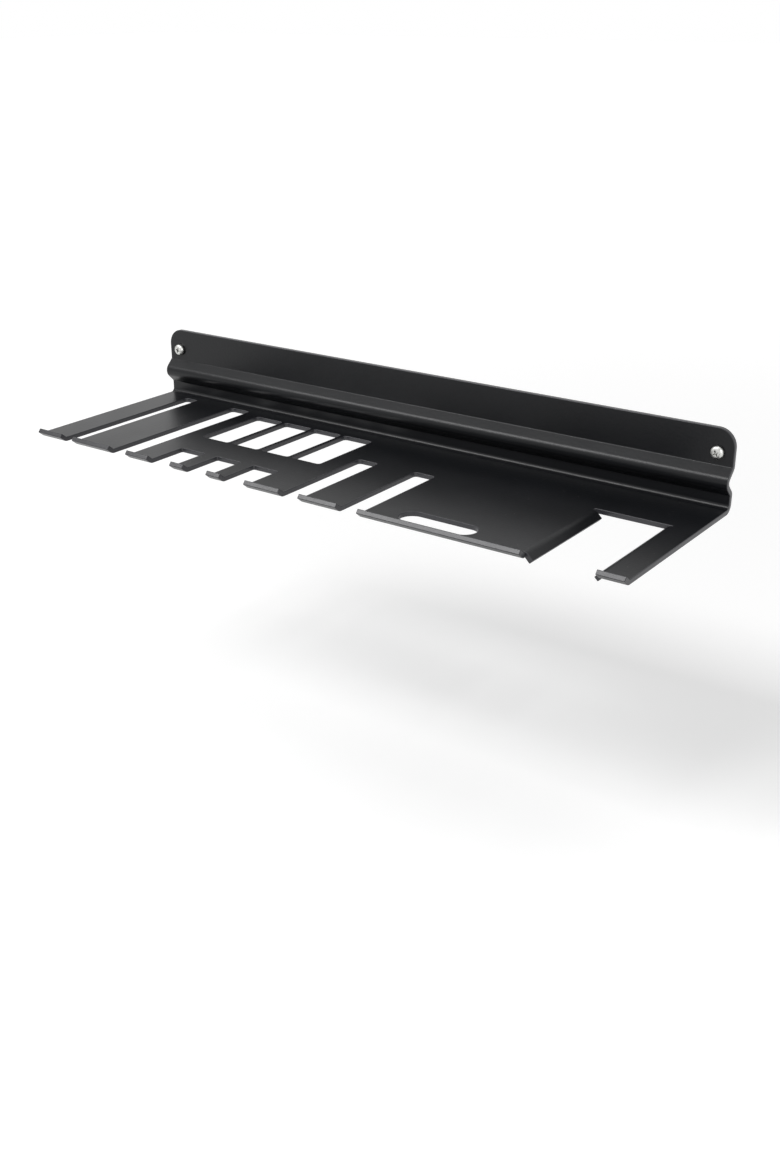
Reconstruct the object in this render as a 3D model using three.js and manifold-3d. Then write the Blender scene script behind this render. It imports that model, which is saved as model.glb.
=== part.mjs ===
// A wall rack for hand tools: one sheet of steel, cut and bent, and the two screws that hold it up.
// Millimetres, +Z up. X runs along the rack, the panel's back face is the plane Y = 0, and the shelf
// comes out towards -Y. The origin lies on the back face, midway between the two screw holes.

import * as THREE from 'three'
import { mergeVertices } from 'three/addons/utils/BufferGeometryUtils.js'
import Module from 'manifold-3d'

// The sheet and its bends, heights taken from the shelf's underside
const rackLength = 432
const sheetThickness = 3
const panelHeight = 49.2
const panelCornerRadius = 11
const shelfDepth = 126.5 // back face to the corner line of the lip
const shelfBendRadius = 2.8 // this and every bend radius below is the inner one
const lipLength = 6
const lipBendRadius = 1.5
const lipAngle = 0.68

// The bead pressed along the back panel
const beadHeight = 19.3
const beadDepth = 6
const beadRootRadius = 1
const beadCrestRadius = 2.6
const beadAngle = Math.PI / 4

// The two long open slots on the left
const shaftSlotWidth = 10.8
const gripSlotWidth = 15.8
const longSlotSetback = 12 // back face to the closed end
const slotCornerRadius = 2

// The row of closed windows, and the row of notches in the front edge before it
const windowCount = 4
const windowWidth = 22.4
const windowLength = 55.5
const windowWeb = 2.9
const windowSetback = 18
const notchCount = 3
const notchWidth = 19.6
const notchDepth = 27.8 // from the lip's corner line
const notchCornerRadius = 1
const prongWidth = 10.8
const notchRowInset = 6.1 // left side of the first window to that of the first notch

// The two open slots in the middle
const middleSlotWidth = 14.7
const middleSlotDepth = 74.8 // from the lip's corner line

// The oval slot between the middle slots and the bay
const ovalLength = 50
const ovalWidth = 15.6
const ovalInset = 3.7 // from the lip's corner line

// The open bay on the right, its two sides folded down
const bayWidth = 44.2
const bayDepth = 81.8 // from the lip's corner line
const bayFlangeLength = 6
const bayBendRadius = 1.5
const bayFlangeAngle = Math.PI / 4
const bayBackRelief = 2 // gap behind each folded side
const bayFrontRelief = 1.2
const reliefCornerRadius = 0.5

// The length that the openings leave, shared out among the plain stretches before each of them;
// the right end has what is left over
const plainShares = {
  leftEnd: 0.117,
  shaftToGrip: 0.182,
  gripToWindows: 0.07,
  windowsToMiddle: 0.082,
  betweenMiddle: 0.152,
  middleToOval: 0.108,
  ovalToBay: 0.199,
}

// Wall screws
const screwHeight = 35
const screwInset = 9.7 // from each end of the rack
const shankRadius = 2.1
const shankLength = 25
const pointLength = 5
const headRadius = 4
const headHeight = 2.8
const headRimHeight = 0.9
const headFlatRadius = 1.7
const recessSpan = 4.6
const recessSlotWidth = 1.2
const recessDepth = 1.6

// Clearances, overruns and facets
const holeClearance = 0.4
const seatGap = 0.3
const overrun = 6
const joinOverlap = 1
const bendFacetAngle = Math.PI / 24
const cornerFacets = 5
const panelCornerFacets = 12
const ovalFacets = 20
const roundFacets = 40

// Places that follow from those sizes
const sheetMiddle = sheetThickness / 2
const lipReach = lipLength * Math.cos(lipAngle)
const frontLimit = -(shelfDepth + lipReach + overrun)
const lipSetback = (lipBendRadius + sheetThickness) * Math.tan(lipAngle / 2)
const bayBendSetback = (bayBendRadius + sheetThickness) * Math.tan(bayFlangeAngle / 2)

const windowRowLength = windowCount * (windowWidth + windowWeb) - windowWeb
const middleLength = middleSlotWidth + middleSlotWidth
const openLength = shaftSlotWidth + gripSlotWidth + windowRowLength + middleLength + ovalLength + bayWidth
const plainLength = rackLength - openLength
const shaftSlotStart = plainLength * plainShares.leftEnd
const gripSlotStart = shaftSlotStart + shaftSlotWidth + plainLength * plainShares.shaftToGrip
const windowRowStart = gripSlotStart + gripSlotWidth + plainLength * plainShares.gripToWindows
const notchRowStart = windowRowStart + notchRowInset
const windowRowEnd = windowRowStart + windowRowLength
const firstMiddleStart = windowRowEnd + plainLength * plainShares.windowsToMiddle
const firstMiddleEnd = firstMiddleStart + middleSlotWidth
const secondMiddleStart = firstMiddleEnd + plainLength * plainShares.betweenMiddle
const secondMiddleEnd = secondMiddleStart + middleSlotWidth
const ovalStart = secondMiddleEnd + plainLength * plainShares.middleToOval
const ovalEnd = ovalStart + ovalLength
const bayStart = ovalEnd + plainLength * plainShares.ovalToBay
const bayEnd = bayStart + bayWidth
const screwPlaces = { left: screwInset, right: rackLength - screwInset }

const wasm = await Module()
wasm.setup()

// Turns a closed geometry into a solid that can be joined and cut.
function toSolid(geometry) {
  const bare = geometry.clone()
  bare.deleteAttribute('normal')
  bare.deleteAttribute('uv')
  const merged = mergeVertices(bare)
  const index = merged.index.array
  const kept = []
  for (let i = 0; i < index.length; i += 3) {
    const [a, b, c] = index.slice(i, i + 3)
    if (a !== b && b !== c && c !== a) kept.push(a, b, c)
  }
  return new wasm.Manifold(new wasm.Mesh({
    numProp: 3,
    vertProperties: new Float32Array(merged.attributes.position.array),
    triVerts: new Uint32Array(kept),
  }))
}

// Turns a solid back into a geometry with flat faces.
function toGeometry(solid) {
  const mesh = solid.getMesh()
  const geometry = new THREE.BufferGeometry()
  geometry.setAttribute('position', new THREE.BufferAttribute(mesh.vertProperties, 3))
  geometry.setIndex(new THREE.BufferAttribute(mesh.triVerts, 1))
  geometry.computeVertexNormals()
  return geometry
}

// Follows the middle of the sheet through straights and bends, and returns its closed section.
// A move is a straight { run } or a bend { turn, radius }, its radius on the inner side.
function bentSection(start, heading, moves) {
  const left = []
  const right = []
  const place = start.clone()
  let angle = heading
  const mark = () => {
    const across = new THREE.Vector2(-Math.sin(angle), Math.cos(angle)).multiplyScalar(sheetMiddle)
    left.push(place.clone().add(across))
    right.push(place.clone().sub(across))
  }
  mark()
  for (const move of moves) {
    if (move.run !== undefined) {
      place.add(new THREE.Vector2(Math.cos(angle), Math.sin(angle)).multiplyScalar(move.run))
      mark()
      continue
    }
    const side = Math.sign(move.turn)
    const radius = move.radius + sheetMiddle
    const toCentre = new THREE.Vector2(-Math.sin(angle), Math.cos(angle)).multiplyScalar(side * radius)
    const centre = place.clone().add(toCentre)
    const steps = Math.ceil(Math.abs(move.turn) / bendFacetAngle)
    const first = angle
    for (let i = 1; i <= steps; i++) {
      angle = first + move.turn * i / steps
      place.set(Math.sin(angle), -Math.cos(angle)).multiplyScalar(side * radius).add(centre)
      mark()
    }
  }
  return new THREE.Shape([...left, ...right.reverse()])
}

// The side view of the whole sheet, drawn from the panel's top edge down to the lip.
function sheetSection() {
  const down = -Math.PI / 2
  const rootRadius = beadRootRadius + sheetMiddle
  const crestRadius = beadCrestRadius + sheetMiddle
  const roundDepth = (rootRadius + crestRadius) * (1 - Math.cos(beadAngle))
  const flank = (beadDepth - roundDepth) / Math.sin(beadAngle)
  const halfBead = (rootRadius + crestRadius) * Math.sin(beadAngle) + flank * Math.cos(beadAngle)
  const outerShelfBend = shelfBendRadius + sheetThickness
  return bentSection(new THREE.Vector2(-sheetMiddle, panelHeight), down, [
    { run: panelHeight - beadHeight - halfBead },
    { turn: -beadAngle, radius: beadRootRadius },
    { run: flank },
    { turn: 2 * beadAngle, radius: beadCrestRadius },
    { run: flank },
    { turn: -beadAngle, radius: beadRootRadius },
    { run: beadHeight - halfBead - outerShelfBend },
    { turn: -Math.PI / 2, radius: shelfBendRadius },
    { run: shelfDepth - outerShelfBend - lipSetback },
    { turn: -lipAngle, radius: lipBendRadius },
    { run: lipLength - lipSetback },
  ])
}

// A rectangle with rounded corners, seen from above.
function slotOutline(left, right, back, front, radius) {
  const quarter = Math.PI / 2
  const outline = new THREE.Shape()
  outline.absarc(right - radius, back - radius, radius, 0, quarter)
  outline.absarc(left + radius, back - radius, radius, quarter, 2 * quarter)
  outline.absarc(left + radius, front + radius, radius, 2 * quarter, 3 * quarter)
  outline.absarc(right - radius, front + radius, radius, 3 * quarter, 4 * quarter)
  outline.closePath()
  return outline
}

// A slot with half-round ends, seen from above.
function ovalOutline(left, right, back, front) {
  const radius = (back - front) / 2
  const middle = (back + front) / 2
  const outline = new THREE.Shape()
  outline.absarc(right - radius, middle, radius, -Math.PI / 2, Math.PI / 2)
  outline.absarc(left + radius, middle, radius, Math.PI / 2, 3 * Math.PI / 2)
  outline.closePath()
  return outline
}

// A cutter that runs straight down through the shelf and the lip.
function downCutter(outline, facets) {
  const height = panelHeight + 2 * overrun
  const prism = new THREE.ExtrudeGeometry(outline, {
    depth: height,
    bevelEnabled: false,
    curveSegments: facets,
  })
  prism.translate(0, 0, -overrun)
  return toSolid(prism)
}

// What is cut away at one rounded top corner of the panel; side is -1 on the left, 1 on the right.
function panelCornerCutter(edge, side) {
  const centre = edge - side * panelCornerRadius
  const outline = new THREE.Shape()
  outline.moveTo(edge + side * overrun, panelHeight + overrun)
  outline.lineTo(edge + side * overrun, panelHeight - panelCornerRadius)
  outline.absarc(centre, panelHeight - panelCornerRadius, panelCornerRadius,
    side > 0 ? 0 : Math.PI, Math.PI / 2, side < 0)
  outline.lineTo(centre, panelHeight + overrun)
  outline.closePath()
  const prism = new THREE.ExtrudeGeometry(outline, {
    depth: shelfDepth,
    bevelEnabled: false,
    curveSegments: panelCornerFacets,
  })
  prism.rotateX(Math.PI / 2)
  prism.translate(0, overrun, 0)
  return toSolid(prism)
}

// The hole for one wall screw, through the panel.
function screwHole(place) {
  const radius = shankRadius + holeClearance
  const length = sheetThickness + 2 * overrun
  const hole = new THREE.CylinderGeometry(radius, radius, length, roundFacets)
  hole.translate(place, -sheetMiddle, screwHeight)
  return toSolid(hole)
}

// The long slots, notches and middle slots that run out through the lip.
function openSlots() {
  const cutters = []
  const cut = (start, width, back, radius) => {
    const outline = slotOutline(start, start + width, back, frontLimit, radius)
    cutters.push(downCutter(outline, cornerFacets))
  }
  cut(shaftSlotStart, shaftSlotWidth, -longSlotSetback, slotCornerRadius)
  cut(gripSlotStart, gripSlotWidth, -longSlotSetback, slotCornerRadius)
  for (let i = 0; i < notchCount; i++) {
    const start = notchRowStart + i * (notchWidth + prongWidth)
    cut(start, notchWidth, notchDepth - shelfDepth, notchCornerRadius)
  }
  for (const start of [firstMiddleStart, secondMiddleStart]) {
    cut(start, middleSlotWidth, middleSlotDepth - shelfDepth, slotCornerRadius)
  }
  return cutters
}

// The row of closed windows and the oval slot.
function closedSlots() {
  const cutters = []
  for (let i = 0; i < windowCount; i++) {
    const start = windowRowStart + i * (windowWidth + windowWeb)
    const front = -(windowSetback + windowLength)
    const outline = slotOutline(start, start + windowWidth, -windowSetback, front, slotCornerRadius)
    cutters.push(downCutter(outline, cornerFacets))
  }
  const ovalFront = ovalInset - shelfDepth
  const oval = ovalOutline(ovalStart, ovalEnd, ovalFront + ovalWidth, ovalFront)
  cutters.push(downCutter(oval, ovalFacets))
  return cutters
}

// The bay's opening: as wide as the bend lines in the shelf, and narrower through the lip.
function bayOpening() {
  const back = bayDepth - shelfDepth
  const bendFront = lipSetback - shelfDepth
  const wide = slotOutline(bayStart - bayBendSetback, bayEnd + bayBendSetback, back, bendFront,
    reliefCornerRadius)
  const narrow = slotOutline(bayStart, bayEnd, back, frontLimit, slotCornerRadius)
  return [downCutter(wide, cornerFacets), downCutter(narrow, cornerFacets)]
}

// One folded side of the bay; side is 1 where it leans to the right, -1 where it leans left.
function bayFlange(crease, side) {
  const root = crease - side * (bayBendSetback + joinOverlap)
  const heading = side > 0 ? 0 : Math.PI
  const section = bentSection(new THREE.Vector2(root, sheetMiddle), heading, [
    { run: joinOverlap },
    { turn: -side * bayFlangeAngle, radius: bayBendRadius },
    { run: bayFlangeLength - bayBendSetback },
  ])
  const back = bayDepth - shelfDepth - bayBackRelief
  const front = lipSetback - shelfDepth + bayFrontRelief
  const flange = new THREE.ExtrudeGeometry(section, { depth: back - front, bevelEnabled: false })
  flange.rotateX(Math.PI / 2)
  flange.translate(0, back, 0)
  return toSolid(flange)
}

// The bent sheet, in its own frame: left end at X = 0, shelf underside at Z = 0.
function rackSheet() {
  const blank = new THREE.ExtrudeGeometry(sheetSection(), { depth: rackLength, bevelEnabled: false })
  const alongX = new THREE.Matrix4().makeBasis(
    new THREE.Vector3(0, 1, 0), new THREE.Vector3(0, 0, 1), new THREE.Vector3(1, 0, 0))
  blank.applyMatrix4(alongX)
  let solid = toSolid(blank)
  const cutters = [
    ...openSlots(),
    ...closedSlots(),
    ...bayOpening(),
    panelCornerCutter(0, -1),
    panelCornerCutter(rackLength, 1),
    screwHole(screwPlaces.left),
    screwHole(screwPlaces.right),
  ]
  for (const cutter of cutters) solid = solid.subtract(cutter)
  solid = solid.add(bayFlange(bayStart, 1)).add(bayFlange(bayEnd, -1))
  return toGeometry(solid)
}

// A pan-head screw with a cross recess, its axis on Y and its bearing face at Y = 0, head upwards.
function wallScrew() {
  const outline = new THREE.Path()
  outline.moveTo(0, -shankLength)
  outline.lineTo(shankRadius, pointLength - shankLength)
  outline.lineTo(shankRadius, 0)
  outline.lineTo(headRadius, 0)
  outline.lineTo(headRadius, headRimHeight)
  outline.absellipse(headFlatRadius, headRimHeight, headRadius - headFlatRadius,
    headHeight - headRimHeight, 0, Math.PI / 2)
  outline.lineTo(0, headHeight)
  const turned = new THREE.LatheGeometry(outline.getPoints(cornerFacets), roundFacets)
  let solid = toSolid(turned)
  for (const [spanX, spanZ] of [[recessSpan, recessSlotWidth], [recessSlotWidth, recessSpan]]) {
    const bar = new THREE.BoxGeometry(spanX, 2 * recessDepth, spanZ)
    bar.translate(0, headHeight, 0)
    solid = solid.subtract(toSolid(bar))
  }
  return toGeometry(solid)
}

// Black satin powder coat on the sheet, zinc on the screws.
const powderCoat = new THREE.MeshStandardMaterial({ color: 0x1c1d21, roughness: 0.42, metalness: 0.1 })
const zincPlate = new THREE.MeshStandardMaterial({ color: 0xb9b7b2, roughness: 0.35, metalness: 0.9 })

const rack = new THREE.Group()
rack.position.set(-rackLength / 2, 0, -screwHeight)

const sheet = new THREE.Mesh(rackSheet(), powderCoat)
sheet.name = 'rack_sheet'
rack.add(sheet)

for (const [name, place] of Object.entries(screwPlaces)) {
  const screw = new THREE.Mesh(wallScrew(), zincPlate)
  screw.name = `wall_screw_${name}`
  screw.position.set(place, -(sheetThickness + seatGap), screwHeight)
  screw.rotation.z = Math.PI
  rack.add(screw)
}

const organizer = new THREE.Group()
organizer.add(rack)

export default organizer
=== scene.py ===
import math

import bmesh
import bpy
from mathutils import Matrix, Vector


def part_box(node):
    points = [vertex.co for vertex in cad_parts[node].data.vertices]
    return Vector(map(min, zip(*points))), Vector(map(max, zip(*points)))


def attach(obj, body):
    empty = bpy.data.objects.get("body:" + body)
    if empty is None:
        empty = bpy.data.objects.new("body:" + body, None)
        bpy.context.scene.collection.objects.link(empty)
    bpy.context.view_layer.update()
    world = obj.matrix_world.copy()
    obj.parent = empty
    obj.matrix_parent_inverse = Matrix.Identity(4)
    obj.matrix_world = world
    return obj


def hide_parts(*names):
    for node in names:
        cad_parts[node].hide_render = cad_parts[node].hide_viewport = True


# The looks of a wall rack for hand tools: one cut and bent sheet of steel in black powder coat,
# and the two zinc-plated screws that hold it up. Metres, +Z up. X runs along the rack, the
# panel's back face is the plane Y = 0, and the shelf comes out towards -Y.

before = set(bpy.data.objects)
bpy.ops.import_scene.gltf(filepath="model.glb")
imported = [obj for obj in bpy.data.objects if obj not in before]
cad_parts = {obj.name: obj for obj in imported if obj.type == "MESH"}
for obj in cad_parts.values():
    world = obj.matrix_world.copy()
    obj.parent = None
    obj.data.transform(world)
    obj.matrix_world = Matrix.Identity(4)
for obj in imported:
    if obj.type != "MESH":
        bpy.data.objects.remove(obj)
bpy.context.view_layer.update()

MM = 0.001

# The rounded cut edges under the coat
EDGE_RADIUS = 0.42 * MM
EDGE_SEGMENTS = 3
MERGE = 0.002 * MM
FLAT_ANGLE = math.radians(1.0)
SHARP_ANGLE = math.radians(30.0)
FLAT_FACE_WEIGHT = 100  # the most that the modifier takes

# The wall screws
HEAD_RADIUS = 4.0 * MM
HEAD_RIM = 0.9 * MM
HEAD_HEIGHT = 2.8 * MM
HEAD_FLAT_RADIUS = 1.7 * MM
HEAD_EDGE = 0.15 * MM
DOME_STEPS = 8
NECK_RADIUS = 1.8 * MM
NECK_LENGTH = 5.0 * MM
THREAD_ROOT = 1.5 * MM
THREAD_CREST = 2.08 * MM
THREAD_PITCH = 2.0 * MM
THREAD_SHARES = (-0.5, -0.3, -0.24, -0.04)  # of the pitch: foot, both sides of the crest, foot
THREAD_TURNS = 11
THREAD_STEPS = 28  # per turn
RUN_OUT_LENGTH = 3.0 * MM
RUN_OUT_RADIUS_SHARE = 0.8
TIP_LENGTH = 5.0 * MM
TIP_RADIUS_SHARE = 0.06
TURNED_STEPS = 56
RECESS_SPAN = 4.6 * MM
RECESS_SLOT = 1.15 * MM
RECESS_DEPTH = 1.7 * MM
RECESS_TAPER_SHARE = 0.45
SCREW_TURNS = {"left": math.radians(18), "right": math.radians(-31)}  # where each cross stopped

# The powder coat
COAT_INDEX = 1.33
EDGE_COAT_INDEX = 1.42
CLOUD_SIZE = 45 * MM
SMEAR_SIZE = 28 * MM
CLEAN_ROUGHNESS = 0.3
SMEARED_ROUGHNESS = 0.33
ROLL_SIZE = 1.7 * MM
ROLL_DEPTH = 0.1 * MM
SPECK_SPACING = 7 * MM
SPECK_RIM_SHARE = 0.045  # of the spacing, from the speck's middle to where it ends
SPECK_CORE_SHARE = 0.03  # and to where it thins out
SPECK_COVER = 0.35
DUST_STARTS = 0.8  # upward share of the normal where dust begins to lie
DUST_STAYS = 0.95  # and where all of it does

# The zinc plate
PATCH_SIZE = 2.5 * MM
BRIGHT_ROUGHNESS = 0.22
DULL_ROUGHNESS = 0.38
DENT_SIZE = 0.8 * MM
DENT_DEPTH = 0.02 * MM

# What a noise pattern mostly stays between
NOISE_LOW = 0.3
NOISE_HIGH = 0.7

# The camera of the photograph, found from the rack's own edges
CAMERA_PLACE = (0.48527, -0.69847, 0.23801)
CAMERA_AZIMUTH = math.radians(36.03)
CAMERA_ELEVATION = math.radians(23.64)
CAMERA_ROLL = math.radians(-0.28)
CAMERA_LENS = 41.94
CAMERA_SENSOR = 36.0
CAMERA_NEAR = 0.01
CAMERA_FAR = 60.0

# The studio
FLOOR_LEVEL = -0.24
FLOOR_REACH = 12.0
FLOOR_PATCHES = 1.2  # per metre
FLOOR_FADE_START = 0.3  # from under the rack
FLOOR_FADE_END = 2.6
FLOOR_GLOW_NEAR = 0.12
FLOOR_GLOW_FAR = 0.8
SURROUNDINGS_LIGHT = 0.42
SURROUNDINGS_WHITE = 1.0
LAMP_AIM = (0.0, -0.06, -0.02)
SOFT_BOXES = {  # place, direction of the length, width, length, watts
    "key": ((-0.62, -1.05, 1.18), (0.62, -0.39, 0.52), 0.45, 1.25, 20.0),
    "top": ((0.3, -0.1, 1.7), (1.0, 0.0, 0.0), 1.2, 1.2, 5.0),
    "right": ((1.5, -0.9, 0.6), (0.0, 0.0, 1.0), 0.9, 0.9, 10.0),
}


def linear(code):
    """An sRGB hex colour as linear RGBA."""
    channels = [int(code[i:i + 2], 16) / 255 for i in (1, 3, 5)]
    return (*[c / 12.92 if c <= 0.04045 else ((c + 0.055) / 1.055) ** 2.4 for c in channels], 1.0)


def start_material(name, **values):
    """A new material, its node tree and its shader, with the plain values set on the shader."""
    material = bpy.data.materials.new(name)
    material.use_nodes = True
    tree = material.node_tree
    shader = tree.nodes["Principled BSDF"]
    for socket, value in values.items():
        shader.inputs[socket.replace("_", " ")].default_value = value
    return material, tree, shader


def add(tree, kind, settings=None, values=None, links=None):
    """Adds a node: its settings by name, its values and the sockets that feed it by input."""
    node = tree.nodes.new(kind)
    for name, value in (settings or {}).items():
        setattr(node, name, value)
    for socket, value in (values or {}).items():
        node.inputs[socket].default_value = value
    for socket, source in (links or {}).items():
        tree.links.new(source, node.inputs[socket])
    return node


def powder_coat(name, dark, light, index):
    """Polyester powder coat, sprayed dry and baked on steel: a hard satin film whose surface
    rolls very slightly, like the skin of an orange, so reflections stay soft and a little broken.
    Its matting wax keeps the mirror light low, so the index is below the bare resin's 1.5."""
    material, tree, shader = start_material(name, IOR=index)
    place = add(tree, "ShaderNodeTexCoord").outputs["Object"]

    # The film is a shade greyer where it lies thin, in wide clouds.
    cloud = add(tree, "ShaderNodeTexNoise", values={"Scale": 1 / CLOUD_SIZE, "Detail": 3.0},
                links={"Vector": place})
    tone = add(tree, "ShaderNodeMix", {"data_type": "RGBA"}, {6: linear(dark), 7: linear(light)},
               {0: cloud.outputs["Fac"]})

    # Handling leaves slightly duller smears, a finger or two wide.
    smear = add(tree, "ShaderNodeTexNoise", values={"Scale": 1 / SMEAR_SIZE, "Detail": 0.5,
                "Distortion": 0.5}, links={"Vector": place})
    rough = add(tree, "ShaderNodeMapRange", values={"From Min": NOISE_LOW, "From Max": NOISE_HIGH,
                "To Min": CLEAN_ROUGHNESS, "To Max": SMEARED_ROUGHNESS},
                links={"Value": smear.outputs["Fac"]})

    # The rolling of the film. Real waves are near 1 mm long and a few microns deep. They are
    # drawn longer and deeper, to show.
    roll = add(tree, "ShaderNodeTexNoise", values={"Scale": 1 / ROLL_SIZE, "Detail": 1.0},
               links={"Vector": place})
    bump = add(tree, "ShaderNodeBump", values={"Strength": 0.5, "Distance": ROLL_DEPTH},
               links={"Height": roll.outputs["Fac"]})

    # A few specks of dust on what faces up, each about 0.5 mm across.
    speck = add(tree, "ShaderNodeTexVoronoi", {"feature": "F1"},
                {"Scale": 1 / SPECK_SPACING, "Randomness": 1.0}, {"Vector": place})
    size = add(tree, "ShaderNodeMapRange", {"clamp": True},
               {"From Min": SPECK_RIM_SHARE, "From Max": SPECK_CORE_SHARE, "To Max": SPECK_COVER},
               {"Value": speck.outputs["Distance"]})
    facing = add(tree, "ShaderNodeSeparateXYZ", links={
        0: add(tree, "ShaderNodeNewGeometry").outputs["Normal"]})
    up = add(tree, "ShaderNodeMapRange", {"clamp": True},
             {"From Min": DUST_STARTS, "From Max": DUST_STAYS}, {"Value": facing.outputs["Z"]})
    dust = add(tree, "ShaderNodeMath", {"operation": "MULTIPLY"},
               links={0: size.outputs["Result"], 1: up.outputs["Result"]})
    colour = add(tree, "ShaderNodeMix", {"data_type": "RGBA"}, {7: linear("#9c9a94")},
                 {0: dust.outputs["Value"], 6: tone.outputs[2]})

    tree.links.new(colour.outputs[2], shader.inputs["Base Color"])
    tree.links.new(rough.outputs["Result"], shader.inputs["Roughness"])
    tree.links.new(bump.outputs["Normal"], shader.inputs["Normal"])
    return material


def zinc_plate():
    """Bright zinc plated on cold-headed steel: a pale, slightly blue metal, tumbled with other
    screws in the plating barrel, so it is covered in faint dents and dull spots."""
    material, tree, shader = start_material("zinc_plated_steel", Metallic=1.0)
    place = add(tree, "ShaderNodeTexCoord").outputs["Object"]
    patch = add(tree, "ShaderNodeTexNoise", values={"Scale": 1 / PATCH_SIZE, "Detail": 4.0},
                links={"Vector": place})
    tone = add(tree, "ShaderNodeMix", {"data_type": "RGBA"},
               {6: linear("#a9aaa8"), 7: linear("#d3d3cf")}, {0: patch.outputs["Fac"]})
    rough = add(tree, "ShaderNodeMapRange", values={"From Min": NOISE_LOW, "From Max": NOISE_HIGH,
                "To Min": BRIGHT_ROUGHNESS, "To Max": DULL_ROUGHNESS},
                links={"Value": patch.outputs["Fac"]})
    dent = add(tree, "ShaderNodeTexNoise", values={"Scale": 1 / DENT_SIZE, "Detail": 2.0},
               links={"Vector": place})
    bump = add(tree, "ShaderNodeBump", values={"Strength": 0.5, "Distance": DENT_DEPTH},
               links={"Height": dent.outputs["Fac"]})
    tree.links.new(tone.outputs[2], shader.inputs["Base Color"])
    tree.links.new(rough.outputs["Result"], shader.inputs["Roughness"])
    tree.links.new(bump.outputs["Normal"], shader.inputs["Normal"])
    return material


def in_view(tree):
    """1 for what the camera sees, also by way of a reflection or through glass, and 0 for light."""
    rays = add(tree, "ShaderNodeLightPath").outputs
    seen = add(tree, "ShaderNodeMath", {"operation": "MAXIMUM"},
               links={0: rays["Is Camera Ray"], 1: rays["Is Transmission Ray"]})
    return add(tree, "ShaderNodeMath", {"operation": "MAXIMUM"},
               links={0: seen.outputs[0], 1: rays["Is Glossy Ray"]}).outputs[0]


def pale_floor():
    """A matt painted studio floor, nearly white, which fades out into white surroundings."""
    material, tree, shader = start_material("matt_pale_floor", Roughness=0.85,
                                            Emission_Color=linear("#ffffff"))
    place = add(tree, "ShaderNodeTexCoord").outputs["Object"]
    cloud = add(tree, "ShaderNodeTexNoise", values={"Scale": FLOOR_PATCHES, "Detail": 2.0},
                links={"Vector": place})
    tone = add(tree, "ShaderNodeMix", {"data_type": "RGBA"},
               {6: linear("#f3f3f3"), 7: linear("#f6f6f6")}, {0: cloud.outputs["Fac"]})
    away = add(tree, "ShaderNodeVectorMath", {"operation": "LENGTH"}, links={0: place})
    fade = add(tree, "ShaderNodeMapRange", values={
        "From Min": FLOOR_FADE_START, "From Max": FLOOR_FADE_END,
        "To Min": FLOOR_GLOW_NEAR, "To Max": FLOOR_GLOW_FAR},
        links={"Value": away.outputs["Value"]})
    glow = add(tree, "ShaderNodeMath", {"operation": "MULTIPLY"},
               links={0: fade.outputs["Result"], 1: in_view(tree)})
    tree.links.new(tone.outputs[2], shader.inputs["Base Color"])
    tree.links.new(glow.outputs[0], shader.inputs["Emission Strength"])
    return material


def new_object(name, bm):
    """Makes an object of a finished bmesh."""
    mesh = bpy.data.meshes.new(name)
    bm.to_mesh(mesh)
    bm.free()
    made = bpy.data.objects.new(name, mesh)
    bpy.context.scene.collection.objects.link(made)
    return made


def new_piece(name, bm, materials, replaced):
    """Makes a piece of a finished bmesh, which stands for one CAD node and rides on the rack."""
    piece = new_object(name, bm)
    for material in materials:
        piece.data.materials.append(material)
    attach(piece, "root")
    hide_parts(replaced)
    return piece


def mark_cut_faces(bm):
    """Gives the second material to the faces that the laser cut. Sharp edges part the surface
    into stretches: the two largest are the sheet's front and back, and the others are cuts."""
    stretches = []
    for face in bm.faces:
        face.tag = False
    for first in bm.faces:
        if first.tag:
            continue
        first.tag = True
        stretch = [first]
        for face in stretch:
            for edge in face.edges:
                if edge.calc_face_angle(0.0) > SHARP_ANGLE:
                    continue
                for other in edge.link_faces:
                    if not other.tag:
                        other.tag = True
                        stretch.append(other)
        stretches.append(stretch)
    stretches.sort(key=lambda stretch: sum(face.calc_area() for face in stretch))
    for stretch in stretches[:-2]:
        for face in stretch:
            face.material_index = 1


def coated_sheet(coat, edge_coat_and_painted_highlight):
    """The bent sheet with the soft edges that a baked film gives a cut one."""
    bm = bmesh.new()
    bm.from_mesh(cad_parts["rack_sheet"].data)
    bmesh.ops.remove_doubles(bm, verts=bm.verts, dist=MERGE)
    bmesh.ops.dissolve_limit(bm, angle_limit=FLAT_ANGLE, verts=bm.verts, edges=bm.edges)
    mark_cut_faces(bm)
    cut_edges = [e for e in bm.edges if e.calc_face_angle(0.0) > SHARP_ANGLE]
    rounded = bmesh.ops.bevel(bm, geom=cut_edges, affect="EDGES", offset=EDGE_RADIUS,
                              segments=EDGE_SEGMENTS, profile=0.5, material=-1)
    for face in bm.faces:
        face.smooth = True
    # The rounded edges take the lighter edge colour, which is partly a painted highlight.
    for face in rounded["faces"]:
        face.material_index = 1
    piece = new_piece("coated_sheet", bm, [coat, edge_coat_and_painted_highlight], "rack_sheet")
    weighted = piece.modifiers.new("flat faces stay flat", "WEIGHTED_NORMAL")
    weighted.weight = FLAT_FACE_WEIGHT


def turned(profile, steps, rise=0.0, turns=1):
    """Spins a profile of (radius, place along Y) round the Y axis. The rise is what it climbs in
    each turn, as a thread does."""
    bm = bmesh.new()
    points = [bm.verts.new((radius, along, 0.0)) for radius, along in profile]
    lines = [bm.edges.new(pair) for pair in zip(points, points[1:])]
    bmesh.ops.spin(bm, geom=points + lines, cent=(0, 0, 0), axis=(0, 1, 0), angle=math.tau * turns,
                   dvec=(0, rise / steps, 0), steps=steps * turns, use_merge=not rise)
    bmesh.ops.remove_doubles(bm, verts=bm.verts, dist=MERGE)
    bmesh.ops.recalc_face_normals(bm, faces=bm.faces)
    return bm


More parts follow.
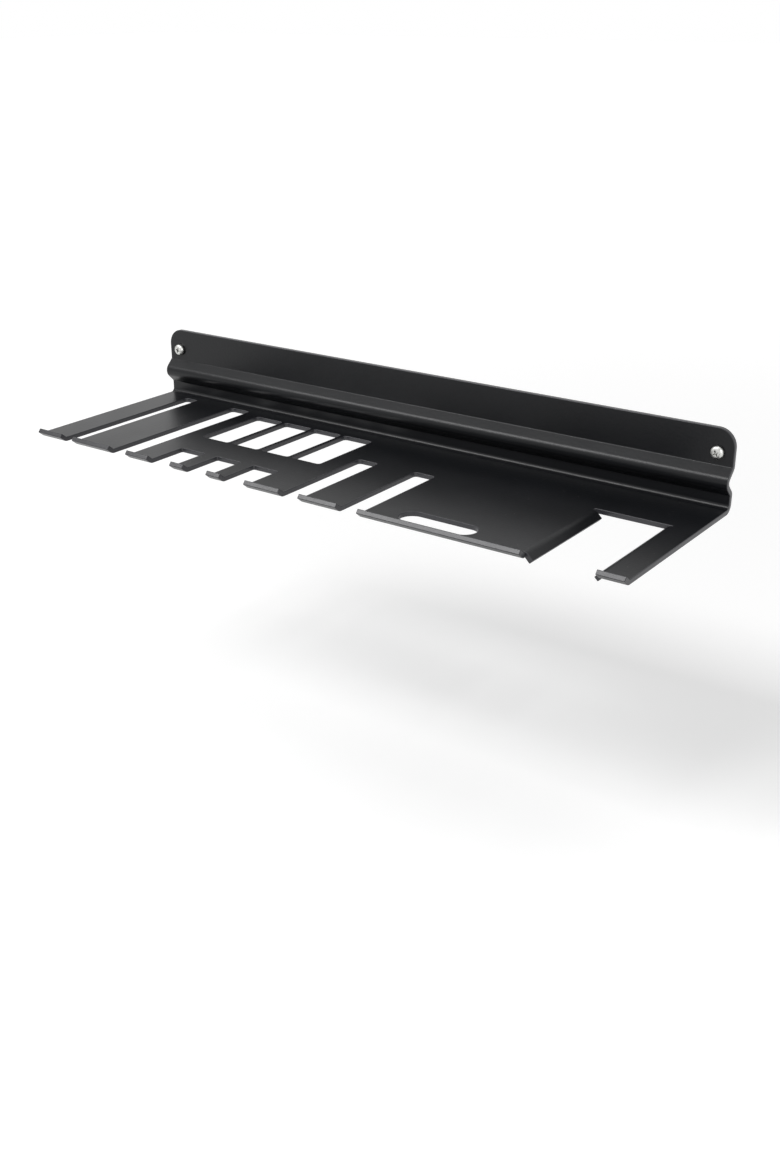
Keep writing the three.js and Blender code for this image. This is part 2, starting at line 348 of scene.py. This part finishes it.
def screw_head():
    """The pan head with its plain neck, bearing face at Y = 0 and dome towards -Y."""
    dome_radius = HEAD_RADIUS - HEAD_FLAT_RADIUS
    dome_height = HEAD_HEIGHT - HEAD_RIM
    profile = [(0.0, NECK_LENGTH), (NECK_RADIUS, NECK_LENGTH), (NECK_RADIUS, 0.0)]
    profile += [(HEAD_RADIUS - HEAD_EDGE, 0.0), (HEAD_RADIUS, -HEAD_EDGE)]
    for i in range(DOME_STEPS + 1):
        angle = math.pi / 2 * i / DOME_STEPS
        profile.append((HEAD_FLAT_RADIUS + dome_radius * math.cos(angle),
                        -HEAD_RIM - dome_height * math.sin(angle)))
    profile.append((0.0, -HEAD_HEIGHT))
    return turned(profile, TURNED_STEPS)


def screw_thread():
    """The threaded shank: narrow crests over a wide root, which rise out of the neck and are
    drawn in to a point at the end. It starts one pitch inside the neck."""
    pitch = THREAD_PITCH
    length = THREAD_TURNS * pitch
    foot, crest_start, crest_end, next_foot = (share * pitch for share in THREAD_SHARES)
    profile = [(THREAD_ROOT, -pitch), (THREAD_ROOT, foot), (THREAD_CREST, crest_start),
               (THREAD_CREST, crest_end), (THREAD_ROOT, next_foot), (THREAD_ROOT, 0.0)]
    bm = turned(profile, THREAD_STEPS, pitch, THREAD_TURNS + 1)
    for end, outwards in ((0.0, -1.0), (length, 1.0)):
        bmesh.ops.bisect_plane(bm, geom=bm.verts[:] + bm.edges[:] + bm.faces[:], dist=MERGE,
                               plane_co=(0, end, 0), plane_no=(0, outwards, 0), clear_outer=True)
        bmesh.ops.holes_fill(bm, edges=[e for e in bm.edges if e.is_boundary
                                        and all(abs(v.co.y - end) < MERGE for v in e.verts)])
    for v in bm.verts:
        from_neck = min(1.0, v.co.y / RUN_OUT_LENGTH)
        from_tip = min(1.0, (length - v.co.y) / TIP_LENGTH)
        share = RUN_OUT_RADIUS_SHARE + (1 - RUN_OUT_RADIUS_SHARE) * from_neck
        share *= TIP_RADIUS_SHARE + (1 - TIP_RADIUS_SHARE) * from_tip
        v.co.x *= share
        v.co.z *= share
    bmesh.ops.recalc_face_normals(bm, faces=bm.faces)
    bmesh.ops.translate(bm, verts=bm.verts, vec=(0, NECK_LENGTH - pitch, 0))
    return bm


def cross_recess():
    """The cutter for the cross in the head: two bars that narrow towards the bottom."""
    bm = bmesh.new()
    for across, along in ((RECESS_SPAN, RECESS_SLOT), (RECESS_SLOT, RECESS_SPAN)):
        size = Vector((across, 2 * RECESS_DEPTH, along))
        bar = bmesh.ops.create_cube(bm, size=1.0, matrix=Matrix.Diagonal(size).to_4x4())["verts"]
        for v in bar:
            if v.co.y > 0:
                v.co.x *= 1 - RECESS_TAPER_SHARE
                v.co.z *= 1 - RECESS_TAPER_SHARE
    bmesh.ops.translate(bm, verts=bm.verts, vec=(0, -HEAD_HEIGHT, 0))
    return bm


def screw_body():
    """Head, neck and thread as one closed mesh with the cross cut in."""
    whole = new_object("screw_whole", screw_head())
    steps = [("UNION", new_object("screw_thread", screw_thread())),
             ("DIFFERENCE", new_object("screw_recess", cross_recess()))]
    for operation, other in steps:
        modifier = whole.modifiers.new(operation, "BOOLEAN")
        modifier.operation = operation
        modifier.solver = "EXACT"
        modifier.use_self = True
        modifier.object = other
    made = whole.evaluated_get(bpy.context.evaluated_depsgraph_get())
    bm = bmesh.new()
    bm.from_mesh(made.to_mesh())
    made.to_mesh_clear()
    for used in (whole, *[other for _, other in steps]):
        bpy.data.objects.remove(used)
    bmesh.ops.remove_doubles(bm, verts=bm.verts, dist=MERGE)
    bmesh.ops.dissolve_degenerate(bm, edges=bm.edges, dist=MERGE)
    return bm


def wall_screw(side, zinc, turn):
    """One wall screw where its solid is, driven in until its cross stands at some angle."""
    bm = screw_body()
    low, high = (Vector(corner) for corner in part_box(f"wall_screw_{side}"))
    middle = (low + high) / 2
    seat = Vector((middle.x, low.y + HEAD_HEIGHT, middle.z))
    bmesh.ops.transform(bm, matrix=Matrix.Translation(seat) @ Matrix.Rotation(turn, 4, "Y"),
                        verts=bm.verts)
    for face in bm.faces:
        face.smooth = True
    for edge in bm.edges:
        edge.smooth = edge.calc_face_angle(0.0) < SHARP_ANGLE
    new_piece(f"zinc_screw_{side}", bm, [zinc], f"wall_screw_{side}")


def camera_of_the_photograph():
    """The photograph's viewpoint. Azimuth is counted from the front to the right."""
    azimuth, elevation, roll = CAMERA_AZIMUTH, CAMERA_ELEVATION, CAMERA_ROLL
    data = bpy.data.cameras.new("camera")
    data.sensor_width = CAMERA_SENSOR
    data.lens = CAMERA_LENS
    data.clip_start, data.clip_end = CAMERA_NEAR, CAMERA_FAR
    camera = bpy.data.objects.new("camera", data)
    bpy.context.scene.collection.objects.link(camera)
    forward = Vector((-math.sin(azimuth) * math.cos(elevation),
                      math.cos(azimuth) * math.cos(elevation), -math.sin(elevation)))
    level = Vector((math.cos(azimuth), math.sin(azimuth), 0.0))
    above = level.cross(forward)
    right = level * math.cos(roll) + above * math.sin(roll)
    up = above * math.cos(roll) - level * math.sin(roll)
    camera.matrix_world = Matrix.Translation(CAMERA_PLACE) @ Matrix(
        (right, up, -forward)).transposed().to_4x4()
    bpy.context.scene.camera = camera


def soft_box(name, place, run, width, length, power):
    """A soft box at a place, aimed at the rack, its length along run."""
    data = bpy.data.lights.new(name, "AREA")
    data.shape = "RECTANGLE"
    data.size, data.size_y = width, length
    data.energy = power
    lamp = bpy.data.objects.new(name, data)
    bpy.context.scene.collection.objects.link(lamp)
    ahead = (Vector(LAMP_AIM) - Vector(place)).normalized()
    across = ahead.cross(Vector(run)).normalized()
    lamp.matrix_world = Matrix.Translation(place) @ Matrix(
        (across, across.cross(ahead), -ahead)).transposed().to_4x4()


def studio():
    """Floor, white surroundings and three soft boxes."""
    bm = bmesh.new()
    bmesh.ops.create_grid(bm, x_segments=1, y_segments=1, size=FLOOR_REACH)
    bmesh.ops.translate(bm, verts=bm.verts, vec=(0, 0, FLOOR_LEVEL))
    floor = new_object("floor", bm)
    floor.data.materials.append(pale_floor())

    world = bpy.data.worlds.new("white surroundings")
    bpy.context.scene.world = world
    world.use_nodes = True
    tree = world.node_tree
    strength = add(tree, "ShaderNodeMapRange",
                   values={"To Min": SURROUNDINGS_LIGHT, "To Max": SURROUNDINGS_WHITE},
                   links={"Value": in_view(tree)})
    background = tree.nodes["Background"]
    background.inputs["Color"].default_value = linear("#ffffff")
    tree.links.new(strength.outputs["Result"], background.inputs["Strength"])

    for name, values in SOFT_BOXES.items():
        soft_box(name, *values)


coat = powder_coat("black_satin_powder_coat", "#0a0b0d", "#101114", COAT_INDEX)
# The cut edges get a lighter coat colour. The film lies thin there, and the colour is also raised
# to stand in for the light that the edges catch, a painted highlight.
edge_coat_and_painted_highlight = powder_coat("powder_coat_thin_and_painted_highlight_on_cut_edges", "#242428", "#2e2e31", EDGE_COAT_INDEX)
zinc = zinc_plate()

coated_sheet(coat, edge_coat_and_painted_highlight)
for side, turn in SCREW_TURNS.items():
    wall_screw(side, zinc, turn)
camera_of_the_photograph()
studio()
bpy.context.scene.view_settings.view_transform = "Standard"
